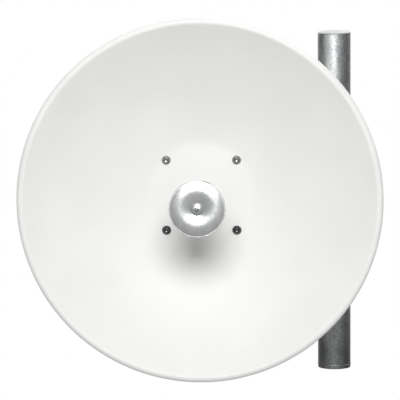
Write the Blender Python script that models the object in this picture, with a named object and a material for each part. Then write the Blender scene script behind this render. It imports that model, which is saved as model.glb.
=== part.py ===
"""Parabolic dish antenna on an offset pole mount, in metres, +Z up.

The pole stands on the Z axis with the flat underside of its end disc at the
origin. The dish looks along -Y, and its axis lies to the left of the pole,
where an offset arm carries it.
"""

from math import asin, atan, cos, pi, radians, sin, sqrt, tan

import bmesh
import bpy
from mathutils import Matrix

# Place of the dish, measured from the pole's axis and its lower end
DISH_OFFSET = 0.240
DISH_HEIGHT = 0.338
RIM_TO_POLE = 0.24187

# Reflector: a sheet pressed to a paraboloid, its rim rolled backwards
DISH_RADIUS = 0.325
FOCAL_LENGTH = 0.226
SHEET = 0.002
RIM_CURL = 0.008
RIM_SKIRT = 0.008
FEED_HOLE_RADIUS = 0.0245

# Flat middle of the reflector, blended into the paraboloid
FLAT_RADIUS = 0.088
BLEND_RADIUS = 0.104

# Bolt square that carries the reflector
BOLT_SPACING = 0.127
BOLT_HOLE_RADIUS = 0.0034

# Steel plate behind the flat middle
HUB_SIZE = 0.186
HUB_THICKNESS = 0.005
HUB_HOLE_RADIUS = 0.030
HUB_CORNER = 0.018

# Feed on the dish's axis
SUB_TO_RIM = 0.1115
SUB_RADIUS = 0.049
SUB_SHEET = 0.0016
SUB_RIDGE_RADIUS = 0.0305
SUB_RIDGE_HEIGHT = 0.0059
SUB_FALL = 0.0044
SUB_BOSS_RADIUS = 0.0108
SUB_BOSS_HEIGHT = 0.0050
SUB_BOSS_FALL = 0.0028
SUB_SCREW_HOLE = 0.0034
CONE_LENGTH = 0.050
CONE_SPIGOT = 0.016
TUBE_RADIUS = 0.022
TUBE_WALL = 0.002
FLANGE_RADIUS = 0.052
FLANGE_THICKNESS = 0.006
BODY_RADIUS = 0.038
BODY_LENGTH = 0.056
CAP_THICKNESS = 0.004
PORT_HEIGHT = 0.016

# Tilt ear, welded on the plate, and the arm's wing beside it
EAR_THICKNESS = 0.005
EAR_HALF_HEIGHT = 0.078
EAR_DEPTH = 0.088
EAR_FROM_AXIS = 0.0815
PIVOT_FROM_PLATE = 0.046
PIVOT_BELOW_AXIS = 0.052
SLOT_RADIUS = 0.106
SLOT_HALF_ANGLE = radians(12)
SLOT_HALF_WIDTH = 0.0045
PIVOT_BOLT_RADIUS = 0.005
M8_RADIUS = 0.004
M8_CORNER = 0.0075
M8_HEAD = 0.0053

# Offset arm, folded from one sheet
ARM_SHEET = 0.004
ARM_WEB_TO_POLE = 0.046
ARM_HALF_HEIGHT = 0.086
ARM_FAR_END = 0.060
ARM_FLANGE = 0.024
ARM_HOLE_RADIUS = 0.016
ARM_HOLE_SPACING = 0.045
ARM_HOLES_TO_POLE = 0.098

# Clamps round the pole
CLAMP_SPACING = 0.120
CLAMP_HALF_WIDTH = 0.056
CLAMP_HALF_HEIGHT = 0.015
CLAMP_SHEET = 0.003
CLAMP_TIP = 0.012
CLAMP_NOTCH_HALF_ANGLE = radians(60)
CLAMP_BOLT_SPACING = 0.092

# Pole
POLE_RADIUS = 0.03015
POLE_WALL = 0.0032
POLE_LENGTH = 0.625
POLE_DISC = 0.006
POLE_CAP = 0.004

GAP = 0.0003
ROUND = 32

# Places along Y that follow from the sizes above
CURL_START = DISH_RADIUS - RIM_CURL * (1 + sin(atan(DISH_RADIUS / (2 * FOCAL_LENGTH))))
CURL_ANGLE = atan(CURL_START / (2 * FOCAL_LENGTH))
RIM_HEIGHT = CURL_START ** 2 / (4 * FOCAL_LENGTH) + RIM_CURL * (1 - cos(CURL_ANGLE))
VERTEX_Y = RIM_HEIGHT - RIM_TO_POLE
BLEND_RISE = BLEND_RADIUS / (2 * FOCAL_LENGTH) * (BLEND_RADIUS - FLAT_RADIUS) / 2
FLAT_HEIGHT = BLEND_RADIUS ** 2 / (4 * FOCAL_LENGTH) - BLEND_RISE
FLAT_Y = VERTEX_Y - FLAT_HEIGHT
HUB_FRONT_Y = FLAT_Y + SHEET + GAP
HUB_REAR_Y = HUB_FRONT_Y + HUB_THICKNESS
SUB_LIP_Y = -RIM_TO_POLE - SUB_TO_RIM
FLANGE_FRONT_Y = HUB_REAR_Y + GAP
BODY_FRONT_Y = FLANGE_FRONT_Y + FLANGE_THICKNESS + GAP
BODY_REAR_Y = BODY_FRONT_Y + BODY_LENGTH
EAR_X = -DISH_OFFSET + EAR_FROM_AXIS
WING_X = EAR_X + EAR_THICKNESS + GAP
PIVOT_Y = HUB_REAR_Y + PIVOT_FROM_PLATE
PIVOT_Z = DISH_HEIGHT - PIVOT_BELOW_AXIS
WEB_REAR_Y = -ARM_WEB_TO_POLE
WEB_FRONT_Y = WEB_REAR_Y - ARM_SHEET
CLAMP_WEB_Y = ARM_WEB_TO_POLE - GAP

# Turns that point a piece's own +Z along a world direction
TO_FRONT = (radians(90), 0, 0)
TO_REAR = (radians(-90), 0, 0)
TO_LEFT = (0, radians(-90), 0)
TO_RIGHT = (0, radians(90), 0)
TO_FLOOR = (radians(180), 0, 0)
UPRIGHT = (0, 0, 0)


def clear_scene():
    for item in list(bpy.data.objects):
        bpy.data.objects.remove(item, do_unlink=True)


def material(name, colour, roughness, metallic):
    look = bpy.data.materials.new(name)
    look.use_nodes = True
    shader = look.node_tree.nodes["Principled BSDF"]
    shader.inputs["Base Color"].default_value = (*colour, 1)
    shader.inputs["Roughness"].default_value = roughness
    shader.inputs["Metallic"].default_value = metallic
    return look


def make_materials():
    return {
        "white_paint": material("white_paint", (0.80, 0.80, 0.78), 0.45, 0.0),
        "spun_aluminium": material("spun_aluminium", (0.72, 0.73, 0.73), 0.28, 1.0),
        "cast_aluminium": material("cast_aluminium", (0.52, 0.53, 0.54), 0.50, 1.0),
        "galvanised": material("galvanised", (0.50, 0.51, 0.52), 0.42, 1.0),
        "zinc_bolt": material("zinc_bolt", (0.42, 0.42, 0.41), 0.30, 1.0),
        "nickel": material("nickel", (0.62, 0.60, 0.55), 0.22, 1.0),
        "white_plastic": material("white_plastic", (0.74, 0.74, 0.71), 0.40, 0.0),
        "grey_plastic": material("grey_plastic", (0.62, 0.63, 0.64), 0.50, 0.0),
    }


def add_piece(name, shape, look, place=(0, 0, 0), turn=UPRIGHT, smooth=True):
    bmesh.ops.remove_doubles(shape, verts=shape.verts, dist=1e-6)
    bmesh.ops.recalc_face_normals(shape, faces=shape.faces)
    mesh = bpy.data.meshes.new(name)
    shape.to_mesh(mesh)
    shape.free()
    if smooth:
        mesh.shade_smooth()
        mesh.set_sharp_from_angle(angle=radians(35))
    mesh.materials.append(look)
    piece = bpy.data.objects.new(name, mesh)
    piece.location = place
    piece.rotation_euler = turn
    bpy.context.scene.collection.objects.link(piece)
    return piece


def turned(outline, segments=ROUND):
    """Outline of (radius, height) points, spun round the shape's own Z axis."""
    shape = bmesh.new()
    points = [shape.verts.new((radius, 0, height)) for radius, height in outline]
    edges = [shape.edges.new(pair) for pair in zip(points, points[1:])]
    if outline[0][0] > 0:
        edges.append(shape.edges.new((points[-1], points[0])))
    bmesh.ops.spin(shape, geom=points + edges, cent=(0, 0, 0), axis=(0, 0, 1),
                   angle=2 * pi, steps=segments, use_merge=True)
    return shape


def extruded(outline, thickness):
    """Outline of (x, y) points, drawn up along Z."""
    shape = bmesh.new()
    face = shape.faces.new([shape.verts.new((x, y, 0)) for x, y in outline])
    grown = bmesh.ops.extrude_face_region(shape, geom=[face])["geom"]
    lifted = [item for item in grown if isinstance(item, bmesh.types.BMVert)]
    bmesh.ops.translate(shape, verts=lifted, vec=(0, 0, thickness))
    return shape


def plate_along_x(outline, thickness):
    """Outline of (y, z) points, drawn out along +X."""
    shape = bmesh.new()
    face = shape.faces.new([shape.verts.new((0, y, z)) for y, z in outline])
    grown = bmesh.ops.extrude_face_region(shape, geom=[face])["geom"]
    lifted = [item for item in grown if isinstance(item, bmesh.types.BMVert)]
    bmesh.ops.translate(shape, verts=lifted, vec=(thickness, 0, 0))
    return shape


def stacked(rings, closed=False, sides=12):
    """Rings of (height, radius, is_hexagon), bridged one to the next."""
    shape = bmesh.new()
    loops = []
    for index, (height, radius, is_hexagon) in enumerate(rings):
        is_end = index in (0, len(rings) - 1)
        ring = bmesh.ops.create_circle(shape, radius=radius, segments=sides,
                                       cap_ends=is_end and not closed)["verts"]
        for corner, vert in enumerate(ring):
            if is_hexagon and corner % 2:
                vert.co *= cos(pi / 6)
            vert.co.z = height
        loops.append([shape.edges.get((a, b)) for a, b in zip(ring, ring[1:] + ring[:1])])
    if closed:
        loops.append(loops[0])
    for lower, upper in zip(loops, loops[1:]):
        bmesh.ops.bridge_loops(shape, edges=lower + upper)
    return shape


def hex_bolt(shank, head_corner, head_height, length):
    """Head from height 0 up, shank from 0 down to -length."""
    chamfer = head_corner * 0.06
    return [(head_height, head_corner * 0.80, False), (head_height - chamfer, head_corner, True),
            (0, head_corner, True), (0, shank, False), (-length + 0.001, shank, False),
            (-length, shank - 0.001, False)]


def hex_nut(bore, corner, flange, height):
    """Flanged nut standing on height 0."""
    return [(0, flange, False), (0.0016, flange, False), (0.0020, corner, True), (height, corner, True),
            (height, bore, False), (0, bore, False)]


def rotation(axis, angle):
    return Matrix.Rotation(angle, 3, axis)


def arc(centre_x, centre_y, radius, start, end, steps):
    angles = [start + (end - start) * step / steps for step in range(steps + 1)]
    return [(centre_x + radius * cos(a), centre_y + radius * sin(a)) for a in angles]


def rounded_rectangle(x_low, x_high, y_low, y_high, corner, steps=4):
    quarter = pi / 2
    corners = [(x_high - corner, y_high - corner), (x_low + corner, y_high - corner),
               (x_low + corner, y_low + corner), (x_high - corner, y_low + corner)]
    outline = []
    for index, (x, y) in enumerate(corners):
        outline += arc(x, y, corner, index * quarter, (index + 1) * quarter, steps)
    return outline


def box(low, high):
    shape = bmesh.new()
    bmesh.ops.create_cube(shape, size=1)
    size = [b - a for a, b in zip(low, high)]
    middle = [(a + b) / 2 for a, b in zip(low, high)]
    bmesh.ops.scale(shape, verts=shape.verts, vec=size)
    bmesh.ops.translate(shape, verts=shape.verts, vec=middle)
    return shape


def cylinder(radius, low, high, segments=16):
    return turned([(0, low), (radius, low), (radius, high), (0, high)], segments)


def combine(piece, tools, operation):
    """Adds or cuts away the tool objects, which stay as hidden guides."""
    for tool in tools:
        tool.hide_render = True
        tool.display_type = "WIRE"
        change = piece.modifiers.new(tool.name, "BOOLEAN")
        change.operation = operation
        change.solver = "EXACT"
        change.object = tool


def paraboloid(radius):
    return radius ** 2 / (4 * FOCAL_LENGTH)


def dish_front(radius):
    """Height of the reflector's front face, and its slope."""
    if radius <= FLAT_RADIUS:
        return FLAT_HEIGHT, 0
    if radius >= BLEND_RADIUS:
        return paraboloid(radius), atan(radius / (2 * FOCAL_LENGTH))
    share = (radius - FLAT_RADIUS) / (BLEND_RADIUS - FLAT_RADIUS)
    return FLAT_HEIGHT + BLEND_RISE * share ** 2, atan(share * BLEND_RADIUS / (2 * FOCAL_LENGTH))


def dish_bolt_places():
    half = BOLT_SPACING / 2
    return [(-half, half), (half, half), (-half, -half), (half, -half)]


def add_reflector(looks):
    blend = (FLAT_RADIUS + BLEND_RADIUS) / 2
    steps = 5
    outer = [BLEND_RADIUS + (CURL_START - BLEND_RADIUS) * i / steps for i in range(steps)]
    radii = [FEED_HOLE_RADIUS, FLAT_RADIUS, blend] + outer
    curl_centre = DISH_RADIUS - RIM_CURL
    curl_height = RIM_HEIGHT - RIM_CURL
    start = pi / 2 + CURL_ANGLE
    front = [(r, dish_front(r)[0]) for r in radii]
    front += arc(curl_centre, curl_height, RIM_CURL, start, 0, 5)
    skirt = [(DISH_RADIUS, curl_height - RIM_SKIRT), (DISH_RADIUS - SHEET, curl_height - RIM_SKIRT)]
    back = arc(curl_centre, curl_height, RIM_CURL - SHEET, 0, start, 4)
    for r in reversed(radii):
        height, slope = dish_front(r)
        back.append((r, height - SHEET / cos(slope)))
    reflector = add_piece("reflector", turned(front + skirt + back, 72), looks["white_paint"],
                          (-DISH_OFFSET, VERTEX_Y, DISH_HEIGHT), TO_FRONT)
    combine(reflector, bolt_hole_cutters("reflector_hole", looks), "DIFFERENCE")


def bolt_hole_cutters(prefix, looks):
    cutters = []
    for index, (x, z) in enumerate(dish_bolt_places()):
        cutter = add_piece(f"{prefix}_{index + 1}", cylinder(BOLT_HOLE_RADIUS, -0.04, 0.04, 10),
                           looks["zinc_bolt"], (x - DISH_OFFSET, VERTEX_Y, DISH_HEIGHT + z), TO_FRONT)
        cutters.append(cutter)
    return cutters


def add_hub_plate(looks):
    half = HUB_SIZE / 2
    plate = extruded(rounded_rectangle(-half, half, -half, half, HUB_CORNER), HUB_THICKNESS)
    hub = add_piece("hub_plate", plate, looks["galvanised"],
                    (-DISH_OFFSET, HUB_REAR_Y, DISH_HEIGHT), TO_FRONT)
    middle = add_piece("hub_hole", cylinder(HUB_HOLE_RADIUS, -0.02, 0.02, ROUND), looks["galvanised"],
                       (-DISH_OFFSET, HUB_REAR_Y, DISH_HEIGHT), TO_FRONT)
    combine(hub, [middle] + bolt_hole_cutters("hub_bolt_hole", looks), "DIFFERENCE")


def add_dish_bolts(looks):
    """Domed bolts through the sheet and the plate, with a nut behind each."""
    distance = sqrt(2) * BOLT_SPACING / 2
    head_radius = 0.0083
    shank = 0.003
    seat = dish_front(distance + head_radius)[0] + GAP
    tip = -(HUB_REAR_Y - VERTEX_Y) - 0.010
    dome_radius = 0.0110
    edge_angle = asin(head_radius / dome_radius)
    dome_centre = seat + 0.0008 - dome_radius * cos(edge_angle)
    dome = [(dome_radius * sin(edge_angle * i / 4), dome_centre + dome_radius * cos(edge_angle * i / 4))
            for i in range(5)]
    outline = dome + [(head_radius, seat), (shank, seat), (shank, tip + 0.0008)]
    outline += [(shank - 0.0008, tip), (0, tip)]
    for index, (x, z) in enumerate(dish_bolt_places()):
        place = (x - DISH_OFFSET, VERTEX_Y, DISH_HEIGHT + z)
        add_piece(f"dish_bolt_{index + 1}", turned(outline, 16), looks["zinc_bolt"], place, TO_FRONT)
        nut = stacked(hex_nut(shank + GAP, 0.0058, 0.0068, 0.0055), closed=True)
        add_piece(f"dish_nut_{index + 1}", nut, looks["zinc_bolt"],
                  (x - DISH_OFFSET, HUB_REAR_Y + GAP, DISH_HEIGHT + z), TO_REAR)


def sub_front(radius):
    """Height of the feed disc's front face over its lip."""
    if radius >= SUB_RIDGE_RADIUS:
        share = (radius - SUB_RIDGE_RADIUS) / (SUB_RADIUS - SUB_RIDGE_RADIUS)
    else:
        share = (SUB_RIDGE_RADIUS - radius) / (SUB_RIDGE_RADIUS - SUB_BOSS_RADIUS)
    return SUB_RIDGE_HEIGHT - SUB_FALL * share ** 1.5


def add_feed_disc(looks):
    steps = 4
    foot = SUB_BOSS_RADIUS + 0.0006
    last = SUB_RADIUS - 0.0018
    inner = [foot + (SUB_RIDGE_RADIUS - foot) * i / steps for i in range(steps + 1)]
    outer = [SUB_RIDGE_RADIUS + (last - SUB_RIDGE_RADIUS) * i / steps for i in range(1, steps + 1)]
    dome = [i / 3 for i in range(4)]
    front = [(SUB_SCREW_HOLE + (SUB_BOSS_RADIUS - SUB_SCREW_HOLE) * share,
              SUB_BOSS_HEIGHT - SUB_BOSS_FALL * share ** 1.5) for share in dome]
    front += [(r, sub_front(r)) for r in inner + outer]
    lip = [(SUB_RADIUS - 0.0007, 0.0024), (SUB_RADIUS, 0.0018), (SUB_RADIUS, -0.0004)]
    back = [(r, sub_front(r) - SUB_SHEET) for r in reversed(inner + outer[:-1])]
    back.insert(0, (SUB_RADIUS - 0.0020, -0.0004))
    back += [(SUB_BOSS_RADIUS - 0.0010, -0.0004), (SUB_SCREW_HOLE, -0.0004)]
    place = (-DISH_OFFSET, SUB_LIP_Y, DISH_HEIGHT)
    add_piece("subreflector", turned(front + lip + back, 40), looks["spun_aluminium"], place, TO_FRONT)
    seat = SUB_BOSS_HEIGHT + GAP
    screw = [(0, seat + 0.0008), (0.0017, seat + 0.0008), (0.0017, seat + 0.0024), (0.0028, seat + 0.0024),
             (0.0038, seat + 0.0012), (0.0040, seat), (0.0030, seat), (0.0030, -0.0004), (0, -0.0004)]
    add_piece("subreflector_screw", turned(screw, 16), looks["zinc_bolt"], place, TO_FRONT)


def add_feed(looks):
    place = (-DISH_OFFSET, SUB_LIP_Y, DISH_HEIGHT)
    cone_front = -0.0004 - GAP
    wide = 0.0455
    tube_end = -CONE_LENGTH
    steps = 6
    side = []
    for i in range(steps + 1):
        share = i / steps
        side.append((wide - (wide - TUBE_RADIUS) * share ** 0.7, -0.004 + (tube_end + 0.004) * share))
    spigot = TUBE_RADIUS - TUBE_WALL - GAP
    cone = [(0, cone_front), (wide, cone_front)] + side
    cone += [(spigot, tube_end), (spigot, tube_end - CONE_SPIGOT), (0, tube_end - CONE_SPIGOT)]
    add_piece("feed_cone", turned(cone), looks["white_plastic"], place, TO_FRONT)

    front = tube_end - GAP
    rear = -(FLANGE_FRONT_Y - GAP - SUB_LIP_Y)
    inner = TUBE_RADIUS - TUBE_WALL
    tube = [(inner, front), (TUBE_RADIUS, front), (TUBE_RADIUS, rear), (inner, rear)]
    add_piece("feed_tube", turned(tube), looks["cast_aluminium"], place, TO_FRONT)

    flange = [(inner, 0), (FLANGE_RADIUS, 0), (FLANGE_RADIUS, -FLANGE_THICKNESS + 0.001),
              (FLANGE_RADIUS - 0.001, -FLANGE_THICKNESS), (inner, -FLANGE_THICKNESS)]
    add_piece("feed_flange", turned(flange), looks["cast_aluminium"],
              (-DISH_OFFSET, FLANGE_FRONT_Y, DISH_HEIGHT), TO_FRONT)

    body = [(0, 0), (BODY_RADIUS, 0), (BODY_RADIUS, -BODY_LENGTH), (0, -BODY_LENGTH)]
    housing = add_piece("feed_body", turned(body), looks["cast_aluminium"],
                        (-DISH_OFFSET, BODY_FRONT_Y, DISH_HEIGHT), TO_FRONT)
    pad = 0.013
    middle_y = (BODY_FRONT_Y + BODY_REAR_Y) / 2
    reach = BODY_RADIUS + 0.003
    low_pad = add_piece("low_pad", box((-DISH_OFFSET - pad, middle_y - pad, DISH_HEIGHT - reach),
                                       (-DISH_OFFSET + pad, middle_y + pad, DISH_HEIGHT - 0.010)),
                        looks["cast_aluminium"], smooth=False)
    side_pad = add_piece("side_pad", box((-DISH_OFFSET - reach, middle_y - pad, DISH_HEIGHT - pad),
                                         (-DISH_OFFSET - 0.010, middle_y + pad, DISH_HEIGHT + pad)),
                         looks["cast_aluminium"], smooth=False)
    combine(housing, [low_pad, side_pad], "UNION")

    cap = [(0, 0), (BODY_RADIUS + 0.002, 0), (BODY_RADIUS + 0.002, -CAP_THICKNESS + 0.001),
           (BODY_RADIUS + 0.001, -CAP_THICKNESS), (0, -CAP_THICKNESS)]
    add_piece("feed_end_cap", turned(cap), looks["cast_aluminium"],
              (-DISH_OFFSET, BODY_REAR_Y + GAP, DISH_HEIGHT), TO_FRONT)

    barrel = 0.0079
    bore = 0.0064
    port = [(0, 0), (0.0115, 0), (0.0115, 0.0025), (barrel, 0.0025), (barrel, PORT_HEIGHT),
            (bore, PORT_HEIGHT), (bore, 0.0060), (0, 0.0060)]
    add_piece("port_vertical", turned(port, 20), looks["nickel"],
              (-DISH_OFFSET, middle_y, DISH_HEIGHT - reach - GAP), TO_FLOOR)
    add_piece("port_horizontal", turned(port, 20), looks["nickel"],
              (-DISH_OFFSET - reach - GAP, middle_y, DISH_HEIGHT), TO_LEFT)


def slot_outline():
    """Curved slot round the pivot, as (forward, up) from the pivot."""
    low = pi / 2 - SLOT_HALF_ANGLE
    high = pi / 2 + SLOT_HALF_ANGLE
    outer = arc(0, 0, SLOT_RADIUS + SLOT_HALF_WIDTH, low, high, 6)
    far_x = SLOT_RADIUS * cos(high)
    far_y = SLOT_RADIUS * sin(high)
    near_x = SLOT_RADIUS * cos(low)
    near_y = SLOT_RADIUS * sin(low)
    far_end = arc(far_x, far_y, SLOT_HALF_WIDTH, high, high + pi, 6)[1:-1]
    inner = arc(0, 0, SLOT_RADIUS - SLOT_HALF_WIDTH, high, low, 6)
    near_end = arc(near_x, near_y, SLOT_HALF_WIDTH, low - pi, low, 6)[1:-1]
    return outer + far_end + inner + near_end


def add_tilt_ear(looks):
    front = HUB_REAR_Y + GAP
    rear = front + EAR_DEPTH
    outline = [(front, DISH_HEIGHT - EAR_HALF_HEIGHT), (rear - 0.020, DISH_HEIGHT - EAR_HALF_HEIGHT)]
    outline += arc(rear - 0.020, DISH_HEIGHT - EAR_HALF_HEIGHT + 0.020, 0.020, -pi / 2, 0, 4)[1:]
    outline += arc(rear - 0.020, DISH_HEIGHT + EAR_HALF_HEIGHT - 0.020, 0.020, 0, pi / 2, 4)
    outline += [(front, DISH_HEIGHT + EAR_HALF_HEIGHT)]
    ear = add_piece("tilt_ear", plate_along_x(outline, EAR_THICKNESS), looks["galvanised"], (EAR_X, 0, 0))
    slot = [(PIVOT_Y + y, PIVOT_Z + z) for y, z in slot_outline()]
    slot_cutter = add_piece("ear_slot", plate_along_x(slot, 0.020), looks["galvanised"],
                            (EAR_X - 0.007, 0, 0))
    pivot_cutter = add_piece("ear_pivot_hole", cylinder(PIVOT_BOLT_RADIUS + GAP, -0.01, 0.02),
                             looks["galvanised"], (EAR_X, PIVOT_Y, PIVOT_Z), TO_RIGHT)
    combine(ear, [slot_cutter, pivot_cutter], "DIFFERENCE")
    for name, z in (("ear_gusset_upper", 0.030), ("ear_gusset_lower", -0.030)):
        right = EAR_X - GAP
        gusset = extruded([(right, front), (right, front + 0.026), (right - 0.006, front + 0.026),
                           (right - 0.026, front + 0.006), (right - 0.026, front)], 0.004)
        add_piece(name, gusset, looks["galvanised"], (0, 0, DISH_HEIGHT + z - 0.002), smooth=False)


def add_arm(looks):
    """Sheet folded to a web before the pole, a wing at the ear and two flanges."""
    steel = looks["galvanised"]
    bend = 0.008
    wing_front = HUB_REAR_Y + 0.008
    outer_x = WING_X
    plan = [(ARM_FAR_END, WEB_REAR_Y), (ARM_FAR_END, WEB_FRONT_Y)]
    plan += arc(outer_x + bend, WEB_REAR_Y - bend, bend - ARM_SHEET, pi / 2, pi, 4)
    plan += [(outer_x + ARM_SHEET, wing_front), (outer_x, wing_front)]
    plan += arc(outer_x + bend, WEB_REAR_Y - bend, bend, pi, pi / 2, 4)
    low = DISH_HEIGHT - ARM_HALF_HEIGHT
    arm = add_piece("offset_arm", extruded(plan, 2 * ARM_HALF_HEIGHT), steel, (0, 0, low))
    flange_front = WEB_REAR_Y - ARM_FLANGE
    flange = [(outer_x + 0.001, WEB_REAR_Y - bend), (outer_x + 0.001, wing_front + 0.002),
              (outer_x + 0.012, wing_front + 0.002), (outer_x + 0.060, flange_front),
              (ARM_FAR_END - 0.006, flange_front), (ARM_FAR_END, flange_front + 0.006),
              (ARM_FAR_END, WEB_REAR_Y - 0.001), (outer_x + bend, WEB_REAR_Y - 0.001)]
    upper = add_piece("arm_upper_flange", extruded(flange, ARM_SHEET), steel,
                      (0, 0, DISH_HEIGHT + ARM_HALF_HEIGHT - ARM_SHEET - 0.0001))
    lower = add_piece("arm_lower_flange", extruded(flange, ARM_SHEET), steel, (0, 0, low + 0.0001))
    combine(arm, [upper, lower], "UNION")

    holes = [("wing_pivot_hole", PIVOT_BOLT_RADIUS + GAP, (WING_X, PIVOT_Y, PIVOT_Z), TO_RIGHT),
             ("wing_tilt_hole", M8_RADIUS + GAP, (WING_X, PIVOT_Y, PIVOT_Z + SLOT_RADIUS), TO_RIGHT)]
    for index, (x, z) in enumerate(clamp_bolt_places()):
        holes.append((f"arm_clamp_hole_{index + 1}", M8_RADIUS + GAP, (x, WEB_FRONT_Y, z), TO_REAR))
    for index, up in enumerate((-ARM_HOLE_SPACING, 0, ARM_HOLE_SPACING)):
        holes.append((f"arm_light_hole_{index + 1}", ARM_HOLE_RADIUS,
                      (-ARM_HOLES_TO_POLE, WEB_FRONT_Y, DISH_HEIGHT + up), TO_REAR))
    cutters = [add_piece(name, cylinder(radius, -0.01, 0.02, 20), steel, place, turn)
               for name, radius, place, turn in holes]
    combine(arm, cutters, "DIFFERENCE")


def add_tilt_bolts(looks):
    zinc = looks["zinc_bolt"]
    head_x = EAR_X - GAP
    nut_x = WING_X + ARM_SHEET + GAP
    for name, shank, corner, head_height, up in (("pivot", PIVOT_BOLT_RADIUS, 0.0098, 0.0064, 0),
                                                 ("tilt", M8_RADIUS, M8_CORNER, M8_HEAD, SLOT_RADIUS)):
        nut_height = shank * 2
        length = nut_x - head_x + nut_height + 0.004
        bolt = stacked(hex_bolt(shank, corner, head_height, length))
        nut = stacked(hex_nut(shank + GAP, corner, corner * 1.15, nut_height), closed=True)
        add_piece(f"{name}_bolt", bolt, zinc, (head_x, PIVOT_Y, PIVOT_Z + up), TO_LEFT)
        add_piece(f"{name}_nut", nut, zinc, (nut_x, PIVOT_Y, PIVOT_Z + up), TO_RIGHT)


def clamp_bolt_places():
    x = CLAMP_BOLT_SPACING / 2
    z = CLAMP_SPACING / 2
    return [(-x, DISH_HEIGHT + z), (x, DISH_HEIGHT + z), (-x, DISH_HEIGHT - z), (x, DISH_HEIGHT - z)]


def clamp_channel(side):
    """Channel across the pole, open towards it; side is -1 in front, 1 behind."""
    web = side * CLAMP_WEB_Y
    inside = side * (CLAMP_WEB_Y - CLAMP_SHEET)
    tip = side * CLAMP_TIP
    top = CLAMP_HALF_HEIGHT
    lip = CLAMP_HALF_HEIGHT - CLAMP_SHEET
    section = [(web, -top), (tip, -top), (tip, -lip), (inside, -lip), (inside, lip), (tip, lip),
               (tip, top), (web, top)]
    return plate_along_x(section, 2 * CLAMP_HALF_WIDTH)


def clamp_notch(side):
    """V that the pole beds into, over both lips."""
    apex = side * (POLE_RADIUS + GAP) / sin(CLAMP_NOTCH_HALF_ANGLE)
    mouth = side * (CLAMP_TIP - 0.004)
    half = abs(apex - mouth) * tan(CLAMP_NOTCH_HALF_ANGLE)
    return extruded([(0, apex), (half, mouth), (-half, mouth)], 0.040)


def add_clamps(looks):
    steel = looks["galvanised"]
    for level, up in (("upper", CLAMP_SPACING / 2), ("lower", -CLAMP_SPACING / 2)):
        for place, side in (("front", -1), ("rear", 1)):
            z = DISH_HEIGHT + up
            name = f"clamp_{place}_{level}"
            clamp = add_piece(name, clamp_channel(side), steel, (-CLAMP_HALF_WIDTH, 0, z), smooth=False)
            cutters = [add_piece(f"{name}_notch", clamp_notch(side), steel, (0, 0, z - 0.020), smooth=False)]
            for hole, x in enumerate((-CLAMP_BOLT_SPACING / 2, CLAMP_BOLT_SPACING / 2)):
                drill = cylinder(M8_RADIUS + GAP, -0.06, 0.06, 12)
                cutters.append(add_piece(f"{name}_hole_{hole + 1}", drill, steel, (x, 0, z), TO_REAR))
            combine(clamp, cutters, "DIFFERENCE")


def add_clamp_bolts(looks):
    zinc = looks["zinc_bolt"]
    head_y = WEB_FRONT_Y - GAP
    nut_y = CLAMP_WEB_Y + GAP
    length = nut_y - head_y + 0.014
    for index, (x, z) in enumerate(clamp_bolt_places()):
        bolt = stacked(hex_bolt(M8_RADIUS, M8_CORNER, M8_HEAD, length))
        nut = stacked(hex_nut(M8_RADIUS + GAP, M8_CORNER, 0.0086, 0.008), closed=True)
        add_piece(f"clamp_bolt_{index + 1}", bolt, zinc, (x, head_y, z), TO_FRONT)
        add_piece(f"clamp_nut_{index + 1}", nut, zinc, (x, nut_y, z), TO_REAR)


def add_pole(looks):
    inner = POLE_RADIUS - POLE_WALL
    low = POLE_DISC + GAP
    high = POLE_LENGTH - POLE_CAP - GAP
    tube = [(inner, low), (POLE_RADIUS, low), (POLE_RADIUS, high), (inner, high)]
    add_piece("pole", turned(tube, 40), looks["galvanised"])
    disc = [(0, 0), (POLE_RADIUS - 0.001, 0), (POLE_RADIUS, 0.001), (POLE_RADIUS, POLE_DISC), (0, POLE_DISC)]
    add_piece("pole_foot", turned(disc, 40), looks["galvanised"])
    plug = inner - GAP
    crown = POLE_LENGTH - 0.0015
    cap = [(0, POLE_LENGTH), (POLE_RADIUS - 0.0015, POLE_LENGTH), (POLE_RADIUS + 0.0005, crown),
           (POLE_RADIUS + 0.0005, POLE_LENGTH - POLE_CAP), (plug, POLE_LENGTH - POLE_CAP),
           (plug, POLE_LENGTH - 0.020), (0, POLE_LENGTH - 0.020)]
    add_piece("pole_cap", turned(cap, 40), looks["grey_plastic"])


def build():
    clear_scene()
    looks = make_materials()
    add_reflector(looks)
    add_hub_plate(looks)
    add_dish_bolts(looks)
    add_feed_disc(looks)
    add_feed(looks)
    add_tilt_ear(looks)
    add_arm(looks)
    add_tilt_bolts(looks)
    add_clamps(looks)
    add_clamp_bolts(looks)
    add_pole(looks)


build()
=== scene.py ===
from math import asin, atan, atan2, cos, degrees, pi, radians, sin, sqrt, tan

import bmesh
import bpy
from mathutils import Euler, Matrix, Vector


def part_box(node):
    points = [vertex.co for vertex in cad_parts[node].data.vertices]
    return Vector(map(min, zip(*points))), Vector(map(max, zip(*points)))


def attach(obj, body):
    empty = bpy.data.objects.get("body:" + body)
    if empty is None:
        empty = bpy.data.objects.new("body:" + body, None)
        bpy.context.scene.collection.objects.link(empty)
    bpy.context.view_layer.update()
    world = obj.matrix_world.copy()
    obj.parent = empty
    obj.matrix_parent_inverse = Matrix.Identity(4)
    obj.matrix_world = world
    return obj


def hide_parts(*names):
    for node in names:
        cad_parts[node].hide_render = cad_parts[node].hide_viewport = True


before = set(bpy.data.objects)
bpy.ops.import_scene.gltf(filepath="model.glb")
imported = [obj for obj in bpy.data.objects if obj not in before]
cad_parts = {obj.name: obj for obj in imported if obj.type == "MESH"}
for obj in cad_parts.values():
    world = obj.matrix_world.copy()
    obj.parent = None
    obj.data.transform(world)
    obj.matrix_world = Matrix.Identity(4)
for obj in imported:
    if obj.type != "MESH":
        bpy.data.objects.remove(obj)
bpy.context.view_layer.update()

print("frame loaded")

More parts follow.
